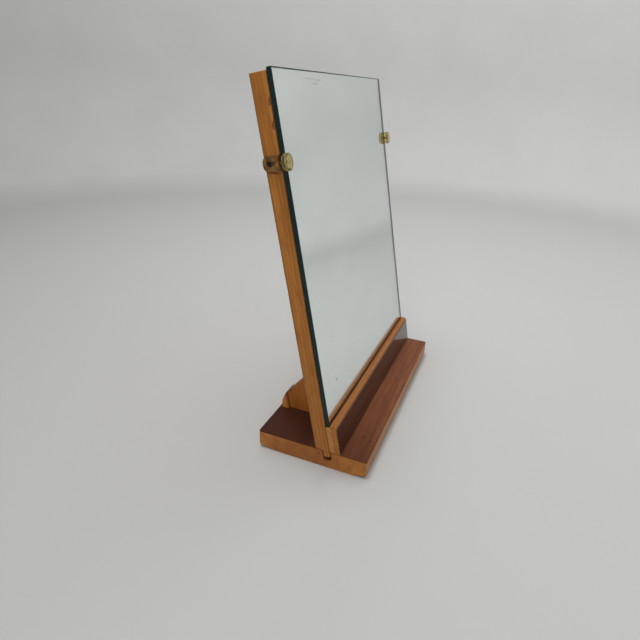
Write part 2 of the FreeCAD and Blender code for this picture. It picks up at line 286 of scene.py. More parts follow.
def timber(name, pale, deep, box, place=Matrix(), upright=False, pith=(0, 0.05, -0.09), ring=3.5 * mm,
           gloss=0.42, figure=1.0, rubbed=0.5):
    """Sawn wood: rings round a far pith, drifting bands, fibres and pores along the grain, rubbed edges."""
    material, tree, shader, spot = new_material(name)
    grain = place @ Matrix.Rotation(-math.pi / 2, 4, "Y") if upright else place
    turn = grain.to_euler()
    drift = cloud(tree, sized(tree, spot, (220 * mm, 30 * mm, 30 * mm), turn), 2)
    bands = cloud(tree, sized(tree, spot, (150 * mm, 10 * mm, 10 * mm), turn), 4, 0.4)
    fibre = cloud(tree, sized(tree, spot, (35 * mm, 1.1 * mm, 1.1 * mm), turn), 4)
    pores = cloud(tree, sized(tree, spot, (7 * mm, 0.45 * mm, 0.45 * mm), turn), 2)
    sway = add(tree, "CombineXYZ", {"Y": maths(tree, "MULTIPLY", drift, 16 * mm)}).outputs[0]
    round_pith = vectors(tree, "ADD", sized(tree, spot, (1, 1, 1), turn, pith), sway)
    ring_at_scale_one = 0.314
    rings = add(tree, "TexWave", {"Vector": round_pith, "Scale": ring_at_scale_one / ring,
                                  "Distortion": 1.2, "Detail": 2.0, "Detail Scale": 1.5},
                wave_type="RINGS", rings_direction="X", wave_profile="SAW").outputs[1]
    shade = maths(tree, "ADD", maths(tree, "MULTIPLY", bands, 0.62 * figure),
                  maths(tree, "ADD", maths(tree, "MULTIPLY", rings, 0.16 * figure),
                        maths(tree, "MULTIPLY", fibre, 0.30)))
    colour = ramp(tree, shade, (0.30, deep), (0.78, pale))
    colour = blend(tree, spread(tree, pores, 0.36, 0.28, 0.0, 0.35), colour, deep, "MULTIPLY")
    blotch = cloud(tree, sized(tree, spot, (26 * mm, 9 * mm, 9 * mm), turn, (0.03, 0.01, 0.02)), 3, 0.6)
    colour = blend(tree, spread(tree, blotch, 0.45, 0.75, 0.0, 0.6), colour, deep)
    patchy = maths(tree, "MULTIPLY", cloud(tree, sized(tree, spot, (9 * mm,) * 3), 4), 3.2 * mm)
    from_edge = maths(tree, "ADD", near_edges(tree, spot, *box, place), patchy)
    rub = spread(tree, from_edge, 2.6 * mm, 1.2 * mm, 0, rubbed)
    colour = blend(tree, rub, colour, pale)
    tree.links.new(colour, shader.inputs["Base Color"])
    shader.inputs["Specular IOR Level"].default_value = 0.2
    rough = spread(tree, fibre, 0.3, 0.7, gloss + 0.07, gloss - 0.06)
    tree.links.new(maths(tree, "ADD", rough, maths(tree, "MULTIPLY", rub, 0.2)), shader.inputs["Roughness"])
    relief = maths(tree, "ADD", fibre, maths(tree, "MULTIPLY", pores, 0.6))
    bump = add(tree, "Bump", {"Height": relief, "Strength": 0.25, "Distance": 0.12 * mm})
    tree.links.new(bump.outputs[0], shader.inputs["Normal"])
    return material


def stain(material, mask, colour):
    """Lay a colour over a material's own where a mask is 1."""
    tree = material.node_tree
    socket = shader_of(material).inputs["Base Color"]
    tree.links.new(blend(tree, mask, socket.links[0].from_socket, colour), socket)


def spot_at(material, place, size, strength=1.0):
    """A mask that is strongest at one place on a piece and fades out at size from it."""
    tree = material.node_tree
    around = sized(tree, part_place(tree), size, (0, 0, 0), place)
    away = add(tree, "VectorMath", {0: around}, operation="LENGTH")
    return spread(tree, away.outputs["Value"], 1.0, 0.45, 0.0, strength)


def varnish(material, weight, roughness=0.15):
    """A clear coat over a finish."""
    shader = shader_of(material)
    shader.inputs["Coat Weight"].default_value = weight
    shader.inputs["Coat Roughness"].default_value = roughness


def within(material, low, high):
    """A mask that is 1 between two planes across the base and 0 outside them, such as on end faces."""
    tree = material.node_tree
    across = add(tree, "SeparateXYZ", {0: part_place(tree)}).outputs["X"]
    past_low = spread(tree, across, low, low + end_skin)
    short_of_high = spread(tree, across, high, high - end_skin)
    return maths(tree, "MULTIPLY", past_low, short_of_high)


honey_pale = paint(199, 133, 62)
honey_deep = paint(146, 88, 36)
dark_mark_and_shade = paint(34, 20, 14)
end_red = paint(132, 66, 34)

board_outline = [(board_low.y, underside_rise), (board_low.y + underside_run, 0),
                 (board_high.y - underside_run, 0), (board_high.y, underside_rise),
                 (board_high.y, board_high.z), (board_low.y, board_high.z)]
bm = side_cut(board_outline, board_low.x, board_high.x)
rounded(bm, base_corner, lambda middle, along: abs(along.z) > 0.99)
sliced(bm, 0)
worn(bm, board_ease, lambda middle, along: middle.z < board_high.z - mm and abs(along.z) < 0.9)
for side in (-1, 1):
    bm = combined(bm, foot_slot(side))
board_wood = timber("base_board_wood", honey_pale, honey_deep, (board_low, board_high),
                    pith=(0, 0.09, -0.12), rubbed=0.35)
slot_smudge = Vector((board_low.x, -10 * mm, 17.5 * mm))
stain(board_wood, spot_at(board_wood, slot_smudge, (3 * mm, 1.6 * mm, 1.6 * mm), 0.8), dark_mark_and_shade)
for side in (-1, 1):
    reddened = Vector((side * board_high.x, 8 * mm, 8 * mm))
    stain(board_wood, spot_at(board_wood, reddened, (6 * mm, 55 * mm, 30 * mm), 0.4), end_red)
    slot_middle = lean @ Vector((side * board_high.x, tongue_thick / 2, slot_bottom / 2))
    # Painted shade: the wood inside each slot, behind the end face, is darkened where the slot's hollow lies
    # in shade.
    slot_shade = spot_at(board_wood, slot_middle, (50 * mm, 18 * mm, 18 * mm), 0.45)
    behind_end = within(board_wood, board_low.x + end_skin, board_high.x - end_skin)
    stain(board_wood, maths(board_wood.node_tree, "MULTIPLY", slot_shade, behind_end), dark_mark_and_shade)
varnish(board_wood, 0.12)
finish_piece("base", bm, "stand", "honey_wood", ["base_board"], board_wood)


# Base top
# A sheet of dark reddish veneer glued on the board and lacquered, with its rim eased by sanding.
# The rim shows bare honey-coloured wood, and two small nicks mark the front half.

sheet_low, sheet_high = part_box("base_top_veneer")
rim_ease = 0.6 * mm
nicks = ((-119 * mm, -50.4 * mm, base_top), (-123.3 * mm, -60.4 * mm, base_top))
mahogany_pale = paint(144, 92, 58)
mahogany_deep = paint(101, 58, 39)
rear_shadow = paint(50, 27, 21)
left_end_shade = paint(70, 38, 28)

bm = block(sheet_low, sheet_high)
rounded(bm, base_corner, lambda middle, along: abs(along.z) > 0.99)
sliced(bm, 0)
worn(bm, rim_ease, lambda middle, along: middle.z > sheet_high.z - 0.01 * mm, 0.1 * mm)
for side in (-1, 1):
    bm = combined(bm, foot_slot(side))
# The box for the rubbed edges reaches far down, so that the sheet's thin lower edges don't count.
rubbed_box = (sheet_low - Vector((0, 0, 1)), sheet_high)
sheet_wood = timber("base_top_wood", mahogany_pale, mahogany_deep, rubbed_box, pith=(0, 0.3, -0.25),
                    ring=6 * mm, gloss=0.45, figure=0.9, rubbed=0.35)
tree = sheet_wood.node_tree
along, behind, height = add(tree, "SeparateXYZ", {0: part_place(tree)}).outputs
stain(sheet_wood, spread(tree, height, base_top - 0.1 * mm, base_top - 0.35 * mm), honey_deep)
# Painted shadow: the veneer is darkened towards the back, where the leaning frame shades it.
stain(sheet_wood, spread(tree, behind, -14 * mm, 6 * mm, 0, 0.9), rear_shadow)
# Painted shade: the veneer is darkened towards its left end, which catches less light.
stain(sheet_wood, spread(tree, along, -70 * mm, -160 * mm, 0, 0.65), left_end_shade)
for nick in nicks:
    stain(sheet_wood, spot_at(sheet_wood, nick, (2.2 * mm, 1.3 * mm, 1.3 * mm), 0.85), dark_mark_and_shade)
shader_of(sheet_wood).inputs["Specular IOR Level"].default_value = 0.1
finish_piece("base_top", bm, "stand", "dark_veneer", ["base_top_veneer"], sheet_wood)


# Stiles
# The frame's two upright sides, square lengths of honey-coloured wood with the grain running up.
# A tongue under the front outer corner of each drops into the base, and the back is rebated for plywood.

frame_half = board_high.x
stile_width = 34 * mm
frame_deep = 17 * mm
frame_high = 394 * mm
tongue_drop = 7.5 * mm
stile_ease = 1.1 * mm
panel_box = (Vector((-134.25, 12.75, 84.75)) * mm, Vector((134.25, 20, 367.25)) * mm)
stile_chips = (369.4 * mm, 349.8 * mm)
chip_size = Vector((1.5, 1.5, 3.4)) * mm
mark_and_shadow_red = paint(74, 34, 24)
stile_shade = paint(86, 50, 26)
strap_foot = (9 * mm, 309.4 * mm)


def upright_place(material):
    """A point's place in the upright layout: across, back from the frame's front and up its slope."""
    tree = material.node_tree
    upright = sized(tree, part_place(tree), (1, 1, 1), lean.to_euler(), frame_foot)
    return add(tree, "SeparateXYZ", {0: upright}).outputs


def rebate():
    """What is cut out of the frame's back to let the plywood in."""
    bm = block(*panel_box)
    bm.transform(lean)
    return bm


def beside_tongue(side):
    """What is cut from a stile's foot to leave its tongue below the base's top: inside it and behind it."""
    clear = 100 * mm
    inner = side * (frame_half - tongue_reach)
    inside = block((min(inner, 0), -clear, -clear / 2), (max(inner, 0), clear, base_top))
    top = lean @ Vector((0, tongue_thick, math.tan(tilt) * tongue_thick))
    low = lean @ Vector((0, tongue_thick, -tongue_drop * 3))
    outline = [(top.y, top.z), (low.y, low.z), (clear, low.z), (clear, top.z)]
    return inside, side_cut(outline, inner - clear / 2, inner + clear / 2)


def dent(place):
    """What a knock takes out of an edge."""
    bm = bmesh.new()
    bmesh.ops.create_icosphere(bm, subdivisions=3, radius=1.0)
    bmesh.ops.scale(bm, vec=chip_size, verts=bm.verts)
    bmesh.ops.translate(bm, vec=place, verts=bm.verts)
    return bm


for side, hand in ((-1, "left"), (1, "right")):
    ends = sorted((side * (frame_half - stile_width), side * frame_half))
    stile_box = (Vector((ends[0], 0, -tongue_drop)), Vector((ends[1], frame_deep, frame_high)))
    bm = block(*stile_box)
    sliced(bm, 2)
    worn(bm, stile_ease, lambda middle, along: side * middle.x > frame_half - mm
         and middle.z > -tongue_drop + mm, 0.25 * mm)
    bm.transform(lean)
    # Knocks have chipped the front edge of the left stile alone.
    heights = stile_chips if side < 0 else ()
    chips = [lean @ Vector((-frame_half - 0.3 * mm, 0.6 * mm, height)) for height in heights]
    for cutter in (rebate(), *beside_tongue(side), *(dent(place) for place in chips)):
        bm = combined(bm, cutter)
    wood = timber(hand + "_stile_wood", honey_pale, honey_deep, stile_box, lean, upright=True,
                  pith=(side * 0.1, 0.06, 0), rubbed=0.3)
    tree = wood.node_tree
    in_frame = upright_place(wood)
    back_edge = spread(tree, in_frame["Y"], frame_deep - 3 * mm, frame_deep, 0, 0.6)
    outer_side = spread(tree, in_frame["X"], side * (frame_half - 2 * mm), side * (frame_half - 0.4 * mm))
    stain(wood, maths(tree, "MULTIPLY", back_edge, outer_side), stile_shade)
    # Painted shadow: a dark red line on the stile's side just under the strap.
    under_strap_shadow = lean @ Vector((side * frame_half, *strap_foot))
    stain(wood, spot_at(wood, under_strap_shadow, (2 * mm, 9 * mm, 1.8 * mm), 0.7), mark_and_shadow_red)
    for place in chips:
        stain(wood, spot_at(wood, place, chip_size * 1.5, 0.9), mark_and_shadow_red)
    varnish(wood, 0.05)
    finish_piece(hand + "_post", bm, "stand", "honey_wood", [hand + "_stile"], wood)


# Rails
# A top rail and a deep bottom rail of the same wood join the stiles, glued and pegged, so that only a
# hairline shows at each joint. The pegs are hidden in the wood.

def seated(bm):
    """Lean a piece back and cut its foot off level with the top of the base."""
    bm.transform(lean)
    bmesh.ops.bisect_plane(bm, geom=bm.verts[:] + bm.edges[:] + bm.faces[:], plane_co=(0, 0, base_top),
                           plane_no=(0, 0, -1), clear_outer=True)
    bmesh.ops.holes_fill(bm, edges=[edge for edge in bm.edges if edge.is_boundary])
    bmesh.ops.recalc_face_normals(bm, faces=bm.faces)


def dress(material, *nodes):
    """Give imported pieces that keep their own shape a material."""
    for name in nodes:
        frame["nodes"][name].data.materials.clear()
        frame["nodes"][name].data.materials.append(material)


rail_half = frame_half - stile_width
rail_ease = 0.8 * mm
below_base_top = -40 * mm
rails = {"top": (360 * mm, frame_high), "bottom": (below_base_top, 92 * mm)}
peg_pale = paint(214, 178, 130)
peg_deep = paint(178, 136, 88)
peg_box = (Vector((-1, -1, -1)), Vector((1, 1, 1)))
for name, (low, high) in rails.items():
    rail_box = (Vector((-rail_half, 0, low)), Vector((rail_half, frame_deep, high)))
    bm = block(*rail_box)
    sliced(bm, 0)
    worn(bm, rail_ease, lambda middle, along: middle.z > frame_high - mm and abs(along.x) > 0.9)
    seated(bm)
    bm = combined(bm, rebate())
    wood = timber(name + "_rail_wood", honey_pale, honey_deep, rail_box, lean, rubbed=0.25)
    varnish(wood, 0.1)
    finish_piece(name + "_cross_rail", bm, "stand", "honey_wood", [name + "_rail"], wood)

dress(timber("peg_wood", peg_pale, peg_deep, peg_box), "frame_dowels", "brace_dowels")


# Plywood back
# A thin sheet of raw plywood, its grain upright, laid in the rebate behind the opening.
# Round-headed pins hold it, and they and the hidden screws are of one dark steel.

plywood_pale = paint(186, 140, 88)
plywood_deep = paint(150, 104, 58)
steel_bright = paint(92, 80, 70)
steel_dull = paint(52, 42, 36)

plywood = timber("back_panel_wood", plywood_pale, plywood_deep, panel_box, lean, upright=True,
                 pith=(0.3, 0.4, 0), ring=14 * mm, gloss=0.62, figure=1.2, rubbed=0.0)
dress(plywood, "back_panel")


def metal(name, bright, dull, gloss, patch):
    """Worn metal: bright and dull patches, with fine marks in its gloss."""
    material, tree, shader, spot = new_material(name)
    patches = cloud(tree, sized(tree, spot, (patch,) * 3), 5, 0.3)
    marks = cloud(tree, sized(tree, spot, (patch / 9,) * 3), 3)
    tree.links.new(ramp(tree, patches, (0.36, dull), (0.64, bright)), shader.inputs["Base Color"])
    tree.links.new(spread(tree, patches, 0.3, 0.7, gloss + 0.14, gloss - 0.05), shader.inputs["Roughness"])
    shader.inputs["Metallic"].default_value = 1.0
    bump = add(tree, "Bump", {"Height": marks, "Strength": 0.15, "Distance": 0.05 * mm})
    tree.links.new(bump.outputs[0], shader.inputs["Normal"])
    return material


dark_steel = metal("dark_steel", steel_bright, steel_dull, gloss=0.42, patch=4 * mm)
dress(dark_steel, "panel_pins", "ledge_screws", "brace_screws", "frame_screws")


# Liner
# A thin sheet of dark felt paper, laid between the frame and the silvered back and pressed flat there.
# It keeps the wood from rubbing the silvering.

felt_dark = paint(26, 20, 15)
felt_light = paint(46, 36, 28)

liner_paper, tree, shader, spot = new_material("liner_paper")
felt = cloud(tree, sized(tree, spot, (1.2 * mm,) * 3), 5)
tree.links.new(ramp(tree, felt, (0.3, felt_dark), (0.7, felt_light)), shader.inputs["Base Color"])
bump = add(tree, "Bump", {"Height": felt, "Strength": 0.5, "Distance": 0.2 * mm})
tree.links.new(bump.outputs[0], shader.inputs["Normal"])
shader.inputs["Roughness"].default_value = 0.95
dress(liner_paper, "glass_liner")


# Silvering
# The mirror coat on the glass's back: a bright metal film, sealed behind with brushed dark paint.
# It is a little tired with age, with a faint smear near the top and a few specks low down.

def upright_box(node):
    """A leaning node's lowest and highest corners in the upright layout."""
    corners = [lean.inverted() @ vertex.co for vertex in frame["nodes"][node].data.vertices]
    return Vector(map(min, zip(*corners))), Vector(map(max, zip(*corners)))


silver_low, silver_high = upright_box("mirror_silvering")
behind_glass = 0.04 * mm
silver_low.y += behind_glass
specks = ((-114.6, 124.2, 1.3), (28.9, 70.5, 1.2), (47.2, 51.5, 1.6), (-121.1, 72.8, 2.2))
smears = ((-78, 389, 18), (-58, 388, 12), (-66, 384.5, 14))
film_tired = paint(244, 249, 247)
film_bright = paint(250, 253, 252)
speck_brown = paint(120, 112, 84)
smear_grey = paint(168, 172, 170)
backing_dark = paint(40, 30, 24)
backing_light = paint(58, 44, 34)

silver_film, tree, shader, spot = new_material("silver_film")
haze = cloud(tree, sized(tree, spot, (50 * mm,) * 3), 4)
tree.links.new(ramp(tree, haze, (0.3, film_tired), (0.7, film_bright)), shader.inputs["Base Color"])
for x, height, size in specks:
    speck = lean @ Vector((x * mm, silver_low.y, height * mm))
    stain(silver_film, spot_at(silver_film, speck, (size * mm, 3 * mm, 1.4 * size * mm), 0.5), speck_brown)
for x, height, size in smears:
    smear = lean @ Vector((x * mm, silver_low.y, height * mm))
    stain(silver_film, spot_at(silver_film, smear, (size * mm, 3 * mm, 1.3 * mm), 0.3), smear_grey)
shader.inputs["Metallic"].default_value = 1.0
shader.inputs["Roughness"].default_value = 0.0

backing_paint, tree, shader, spot = new_material("backing_paint")
brushed = cloud(tree, sized(tree, spot, (30 * mm, 2 * mm, 2 * mm)), 4)
tree.links.new(ramp(tree, brushed, (0.3, backing_dark), (0.7, backing_light)), shader.inputs["Base Color"])
shader.inputs["Roughness"].default_value = 0.8
shader.inputs["Specular IOR Level"].default_value = 0.05

bm = block(silver_low, silver_high)
bm.transform(lean)
for face in bm.faces:
    face.material_index = 0 if (lean.inverted().to_3x3() @ face.normal).y < -0.9 else 1
finish_piece("silvering", bm, "stand", "silvering", ["mirror_silvering"], silver_film, backing_paint)


# Glass
# A 5 mm plate of clear float glass with ground, slightly broken edges. It stands on the rest strip and
# shows dark green where one looks into its edge. The backing paint runs over onto the rear of the edge.

glass_box = upright_box("mirror_glass")
glass_back = glass_box[1].y
arris = 0.4 * mm
edge_dark = paint(20, 40, 38)
edge_green = paint(32, 56, 53)
overrun_brown = paint(44, 27, 16)

clear_glass, tree, shader = new_material("clear_glass")[:3]
shader.inputs["Base Color"].default_value = (1, 1, 1, 1)
shader.inputs["Roughness"].default_value = 0.0
shader.inputs["IOR"].default_value = 1.52
shader.inputs["Transmission Weight"].default_value = 1.0
tint = add(tree, "VolumeAbsorption", {"Color": (0.25, 0.86, 0.74, 1), "Density": 4.0})
tree.links.new(tint.outputs[0], tree.nodes["Material Output"].inputs["Volume"])

ground_edge, tree, shader, spot = new_material("ground_glass_edge")
streaks = cloud(tree, sized(tree, spot, (4 * mm, 0.6 * mm, 4 * mm)), 3)
tree.links.new(ramp(tree, streaks, (0.3, edge_dark), (0.7, edge_green)), shader.inputs["Base Color"])
tree.links.new(spread(tree, streaks, 0.3, 0.7, 0.3, 0.5), shader.inputs["Roughness"])
shader.inputs["Specular IOR Level"].default_value = 0.15
overrun = spread(tree, upright_place(ground_edge)["Y"], glass_back - 1.6 * mm, glass_back - 1.2 * mm)
stain(ground_edge, overrun, overrun_brown)

bm = block(*glass_box)
rounded(bm, arris, lambda middle, along: True, 1)
bm.normal_update()
for face in bm.faces:
    if abs(face.normal.y) > 0.99:
        face.material_index = 0
    elif face.normal.y > 0.1:
        face.material_index = 2
    else:
        face.material_index = 1
bm.transform(lean)
finish_piece("glass_plate", bm, "stand", "glass", ["mirror_glass"], clear_glass, ground_edge, backing_paint)


# Ledge
# A strip under the glass and a lip in front of it, screwed on from behind. The lip's top is rounded to bare
# honey-coloured wood that fades into the dark lacquered veneer on its front.

strip_back = 0
lip_back = -6.1 * mm
lip_front = -13.8 * mm
facing_back = -13 * mm
strip_high = 33 * mm
lip_high = 35 * mm
lip_round = 4.5 * mm
facing_high = lip_high - lip_round
lip_ease = 0.4 * mm
facing_ease = 0.25 * mm
strip_pale = paint(204, 148, 84)
strip_deep = paint(166, 108, 54)
lip_pale = paint(192, 126, 66)
lip_deep = paint(140, 86, 42)
lip_dull = paint(150, 98, 62)
lacquer_pale = paint(78, 39, 27)
lacquer_deep = paint(46, 21, 15)

strip_box = (Vector((-frame_half, lip_back, below_base_top)), Vector((frame_half, strip_back, strip_high)))
bm = block(*strip_box)
sliced(bm, 0)
rounded(bm, stile_ease, lambda middle, along: abs(middle.x) > frame_half - mm and abs(along.z) > 0.9
        and middle.y > -mm, 2)
seated(bm)
strip_wood = timber("rest_strip_wood", strip_pale, strip_deep, strip_box, lean, rubbed=0.2)
depth = upright_place(strip_wood)["Y"]
# Painted shade: the strip is darkened over the last millimetre or so at its back, where it meets the frame
# behind the glass.
stain(strip_wood, spread(strip_wood.node_tree, depth, -1.3 * mm, -0.4 * mm, 0, 0.7), dark_mark_and_shade)
finish_piece("rest_strip", bm, "stand", "honey_wood", ["glass_rest_strip"], strip_wood)


def fade(material, dark_below, light_above):
    """1 low down and 0 higher up, along an uneven line."""
    tree = material.node_tree
    patches = cloud(tree, sized(tree, part_place(tree), (14 * mm, 3 * mm, 3 * mm)), 3)
    uneven = maths(tree, "MULTIPLY", patches, 3 * mm)
    return spread(tree, maths(tree, "ADD", upright_place(material)["Z"], uneven), light_above, dark_below)


lip_outline = [(lip_back, below_base_top), (facing_back, below_base_top), (facing_back, facing_high),
               (lip_front, facing_high), (lip_front, lip_high), (lip_back, lip_high)]
lip_box = (Vector((-frame_half, lip_front, below_base_top)), Vector((frame_half, lip_back, lip_high)))
bm = side_cut(lip_outline, -frame_half, frame_half)
rounded(bm, lip_round - 0.01 * mm, lambda middle, along: abs(along.x) > 0.9 and middle.z > lip_high - mm
        and middle.y < lip_front + mm, 8)
sliced(bm, 0)
worn(bm, lip_ease, lambda middle, along: middle.y > lip_back - mm and middle.z > lip_high - mm, 0.1 * mm)
seated(bm)
lip_wood = timber("lip_wood", lip_pale, lip_deep, lip_box, lean, rubbed=0.3)
tree = lip_wood.node_tree
between_ends = within(lip_wood, -frame_half, frame_half)
stain(lip_wood, maths(tree, "MULTIPLY", between_ends, 0.3), lip_dull)
darkened = maths(tree, "MULTIPLY", between_ends, fade(lip_wood, 31 * mm, 35.5 * mm))
stain(lip_wood, darkened, lacquer_deep)
shader_of(lip_wood).inputs["Specular IOR Level"].default_value = 0.15
finish_piece("front_lip", bm, "stand", "honey_wood", ["ledge_lip"], lip_wood)

bm = block((-frame_half, lip_front, below_base_top), (frame_half, facing_back, facing_high))
sliced(bm, 0)
worn(bm, facing_ease, lambda middle, along: abs(middle.x) > frame_half - mm
     and middle.y < lip_front + 0.1 * mm, 0.05 * mm)
seated(bm)
facing_wood = timber("facing_wood", lacquer_pale, lacquer_deep, lip_box, lean, pith=(0, 0.2, -0.2),
                     ring=6 * mm, gloss=0.35, rubbed=0.1)
varnish(facing_wood, 0.8, 0.04)
shader_of(facing_wood).inputs["Specular IOR Level"].default_value = 0.1
finish_piece("lip_front", bm, "stand", "dark_veneer", ["ledge_facing"], facing_wood)


# Braces
# Two sloping boards of honey-coloured wood behind the frame, pegged to the bottom rail and screwed to the
# base. A short wider block stands a seam's width behind each.

brace_middle = 93.5 * mm
brace_half = 8.5 * mm
brace_high = 86 * mm
seam_high = 38 * mm
brace_seam = 0.6 * mm
seam_gap = 1.3 * mm
block_shoulder = base_top + 10 * mm
brace_ease = 1 * mm
brace_pale = paint(198, 126, 58)
brace_deep = paint(146, 84, 35)
block_pale = paint(214, 144, 78)
block_deep = paint(166, 102, 50)
sawn_shade = paint(80, 46, 26)


def under_face(material, place, normal):
    """A mask that is 1 on a flat face and fades out just under it."""
    tree = material.node_tree
    where = vectors(tree, "SUBTRACT", part_place(tree), place)
    depth = add(tree, "VectorMath", {0: where, 1: normal}, operation="DOT_PRODUCT").outputs["Value"]
    return spread(tree, depth, -1.4 * mm, -0.5 * mm)


for side, hand in ((-1, "left"), (1, "right")):
    seam = upright_box(hand + "_brace")[1].y
    outline = [(frame_deep, below_base_top), (seam, below_base_top), (seam, seam_high),
               (frame_deep, brace_high)]
    left = side * brace_middle - brace_half
    right = side * brace_middle + brace_half
    brace_box = (Vector((left, frame_deep, below_base_top)), Vector((right, seam, brace_high)))
    bm = side_cut(outline, left, right)
    worn(bm, brace_ease, lambda middle, along: middle.z > seam_high - mm and abs(along.x) < 0.9, 0.3 * mm)
    seated(bm)
    wood = timber(hand + "_brace_wood", brace_pale, brace_deep, brace_box, lean, upright=True,
                  pith=(side * 0.05, 0.12, 0), rubbed=0.0)
    slope = Vector((0, brace_high - seam_high, seam - frame_deep)).normalized()
    sawn = under_face(wood, lean @ Vector((0, seam, seam_high)), lean.to_3x3() @ slope)
    stain(wood, maths(wood.node_tree, "MULTIPLY", sawn, 0.6), sawn_shade)
    knot = lean @ Vector((side * (brace_middle + brace_half), seam - 5 * mm, seam_high + 2 * mm))
    stain(wood, spot_at(wood, knot, (3 * mm, 1.8 * mm, 2.6 * mm), 0.7), mark_and_shadow_red)
    stain(wood, spread(wood.node_tree, upright_place(wood)["Y"], seam - 0.5 * mm, seam, 0, 0.8), mark_and_shadow_red)
    finish_piece(hand + "_prop", bm, "stand", "honey_wood", [hand + "_brace"], wood)

    block_low, block_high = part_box(hand + "_brace_block")
    seam_top = lean @ Vector((0, seam, seam_high))
    seam_foot = block_low.y + seam_gap - brace_seam
    outline = [(seam_foot, base_top), (block_high.y, base_top), (block_high.y, block_shoulder),
               (seam_top.y + seam_gap, block_high.z)]
    bm = side_cut(outline, block_low.x, block_high.x)
    worn(bm, brace_ease, lambda middle, along: middle.z > base_top + 2 * mm, 0.3 * mm)
    wood = timber(hand + "_foot_block_wood", block_pale, block_deep, (block_low, block_high), lean,
                  upright=True, pith=(side * 0.15, 0.02, 0), rubbed=0.0)
    shoulder = Vector((0, block_high.y, block_shoulder))
    slope = Vector((0, block_high.z - shoulder.z, shoulder.y - seam_top.y - seam_gap)).normalized()
    stain(wood, maths(wood.node_tree, "MULTIPLY", under_face(wood, shoulder, slope), 0.3), sawn_shade)
    finish_piece(hand + "_foot_block", bm, "stand", "honey_wood", [hand + "_brace_block"], wood)


# Clips
# Brass straps screwed to the stiles' sides. A threaded stud through each strap's lug carries a moulded
# cap of clear plastic, hollow at the back and yellowed with age, whose rim holds the glass to the frame.

strap_thick = 1.2 * mm
strap_rear = 18.3 * mm
strap_low = 310.4 * mm
strap_high = 324.4 * mm
rear_round = 5.5 * mm
lug_round = 3 * mm
bend_round = 1 * mm
strap_ease = 0.25 * mm
lug_end = 168.4 * mm
clip_high = (strap_low + strap_high) / 2
stud_x = 164.2 * mm
stud_radius = 1.5 * mm
stud_back = 6.5 * mm
stud_front = -9.2 * mm
boss_radius = 3.2 * mm
boss_long = 3 * mm
strap_slot_front = 3.3 * mm
strap_slot_back = 13.3 * mm
strap_slot_half = 1.6 * mm
clip_screw_y = 11.7 * mm
knob_back = -6.2 * mm


def turned(outline, steps):
    """A solid of revolution about the Z axis, from (radius, height) points."""
    bm = bmesh.new()
    points = [bm.verts.new((radius, 0, height)) for radius, height in outline]
    edges = [bm.edges.new(pair) for pair in zip(points, points[1:])]
    bmesh.ops.spin(bm, geom=points + edges, cent=(0, 0, 0), axis=(0, 0, 1), angle=math.tau, steps=steps,
                   use_merge=True)
    bmesh.ops.remove_doubles(bm, verts=bm.verts, dist=0.001 * mm)
    bmesh.ops.recalc_face_normals(bm, faces=bm.faces)
    return bm


def facing_front(bm, y):
    """Lay a turned solid's axis along the stud, its height running forwards from y."""
    bm.transform(Matrix.Translation((stud_x, y, clip_high)) @ Matrix.Rotation(math.pi / 2, 4, "X"))
    return bm


def rod_along_stud(radius, back, front):
    """A plain round rod on the stud's axis."""
    length = back - front
    return facing_front(turned([(0, 0), (radius, 0), (radius, length), (0, length)], 32), back)


def on_side(bm, side):
    """Put a right-hand clip's piece on its side of the mirror and lean it back."""
    bmesh.ops.scale(bm, vec=(side, 1, 1), verts=bm.verts)
    if side < 0:
        bmesh.ops.reverse_faces(bm, faces=bm.faces)
    bm.transform(lean)
    return bm


def strap():
    """A bent strap with a round rear end, a slot for its screw, and a lug with a bored boss behind it."""
    side_face = frame_half + strap_thick
    outline = [(frame_half, strap_rear), (side_face, strap_rear), (side_face, 0), (lug_end, 0),
               (lug_end, -strap_thick), (frame_half, -strap_thick)]
    bm = prism([(x, y, strap_low) for x, y in outline], (0, 0, strap_high - strap_low))
    hair = 0.01 * mm
    rounded(bm, rear_round, lambda middle, along: middle.y > strap_rear - hair and abs(along.x) > 0.9, 8)
    rounded(bm, lug_round, lambda middle, along: middle.x > lug_end - hair and abs(along.y) > 0.9, 6)
    rounded(bm, bend_round, lambda middle, along: middle.x < frame_half + hair and middle.y < 0
            and abs(along.z) > 0.9)
    bm = combined(bm, rod_along_stud(boss_radius, boss_long, -strap_thick / 2), "UNION")
    slot = block((frame_half - mm, strap_slot_front, clip_high - strap_slot_half),
                 (side_face + mm, strap_slot_back, clip_high + strap_slot_half))
    rounded(slot, strap_slot_half - hair, lambda middle, along: abs(along.x) > 0.9, 6)
    bore = rod_along_stud(stud_radius + 0.05 * mm, boss_long + mm, -strap_thick - mm)
    stile_side = block((frame_half - 5 * mm, 0, strap_low), (frame_half, boss_long + mm, strap_high))
    for cutter in (slot, bore, stile_side):
        bm = combined(bm, cutter)
    return bm


def arc(centre, wide, high, start, end, steps):
    """Points along part of an ellipse, or of a circle if wide equals high, between angles in degrees."""
    angles = [math.radians(start + (end - start) * step / steps) for step in range(steps + 1)]
    return [(centre[0] + wide * math.cos(angle), centre[1] + high * math.sin(angle)) for angle in angles]


def clip_screw():
    """A round-headed screw with a sawn slot, its outline in millimetres, its head standing on the strap."""
    shank = [(0, -3.0), (1.4, -3.0), (1.4, 0)]
    head = arc((0, 0), 2.6, 1.5, 0, 90, 5)
    bm = turned([(radius * mm, height * mm) for radius, height in shank + head], 32)
    sawn_slot = block((-3 * mm, -0.35 * mm, 0.9 * mm), (3 * mm, 0.35 * mm, 2 * mm))
    slot_turn = math.radians(35)
    bm = combined(bm, sawn_slot)
    bm.transform(Matrix.Translation((frame_half + strap_thick, clip_screw_y, clip_high))
                 @ Matrix.Rotation(math.pi / 2, 4, "Y") @ Matrix.Rotation(slot_turn, 4, "Z"))
    return bm


